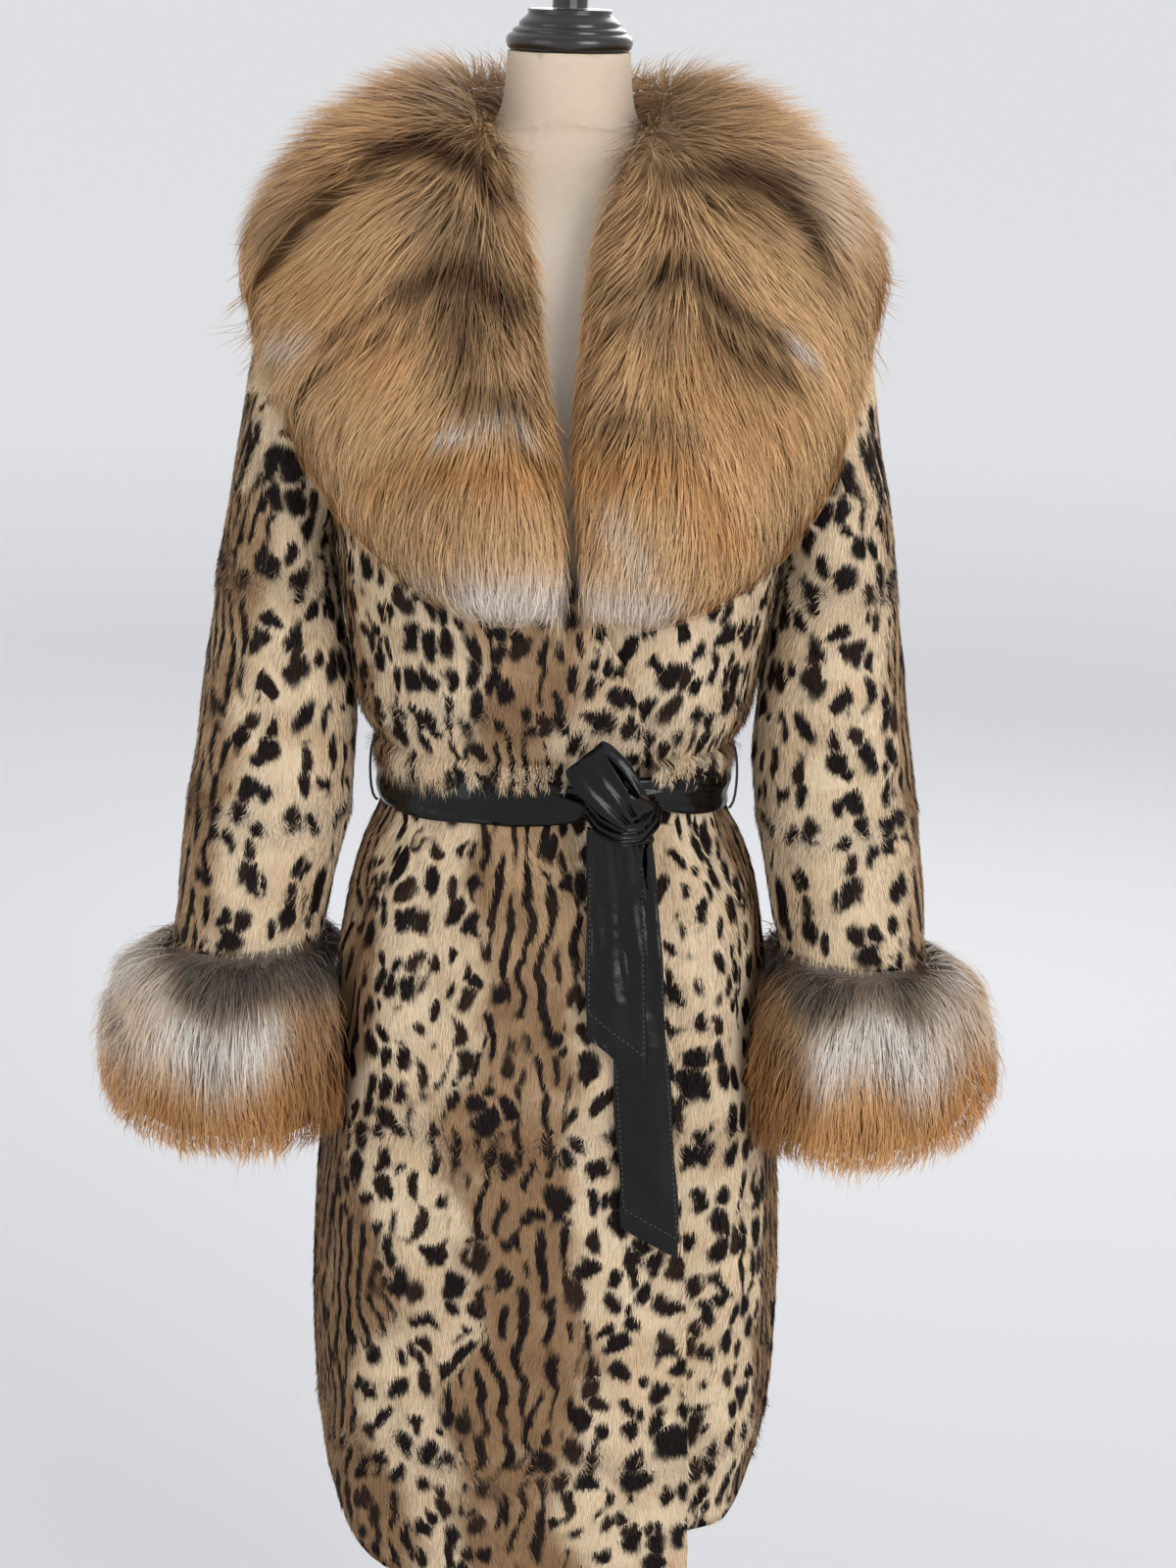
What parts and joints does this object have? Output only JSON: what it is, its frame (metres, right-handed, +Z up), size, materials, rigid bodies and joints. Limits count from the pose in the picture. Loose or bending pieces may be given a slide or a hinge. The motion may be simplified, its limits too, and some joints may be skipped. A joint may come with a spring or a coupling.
{
  "type": "faux fur coat on a limbless dress form",
  "caption": "Belted faux fur wrap coat with a deep shawl collar and full cuffs, hanging hollow on a limbless dress form with a round stand.",
  "frame": {"origin": "middle of the stand's underside, on the floor", "axes": "+Z up; the coat's front faces -Y; the viewer's right, the wearer's left, is +X"},
  "size_m": [0.7068, 0.3671, 1.591],
  "materials": {
    "spotted_fur": "short soft pile, cream and brown ground with dark spots",
    "fox_fur": "long loose hair, orange brown with grey and white tips",
    "cuff_fur": "long loose hair, dark grey at the seam, white, then orange brown",
    "belt_leather": "black, softly glossy, creased, stitched edges",
    "belt_thread": "black twisted thread",
    "form_linen": "plain woven linen",
    "form_wood": "dark varnish",
    "stand_metal": "satin black"
  },
  "bodies": {
    "root": {"coat_back": "spotted_fur", "coat_front_over": "spotted_fur", "coat_front_under": "spotted_fur", "sleeve_right": "spotted_fur", "sleeve_left": "spotted_fur", "fur_collar": "fox_fur", "cuff_right": "cuff_fur", "cuff_left": "cuff_fur", "belt_band": "belt_leather", "belt_knot": "belt_leather", "belt_bow_loop": "belt_leather", "belt_tail_front": "belt_leather", "belt_tail_back": "belt_leather", "belt_loop_right": "belt_thread", "belt_loop_left": "belt_thread", "form_torso": "form_linen", "form_neck_cap": "form_wood", "form_finial": "form_wood", "form_pole": "stand_metal", "form_base": "stand_metal"}
  },
  "joints": []
}
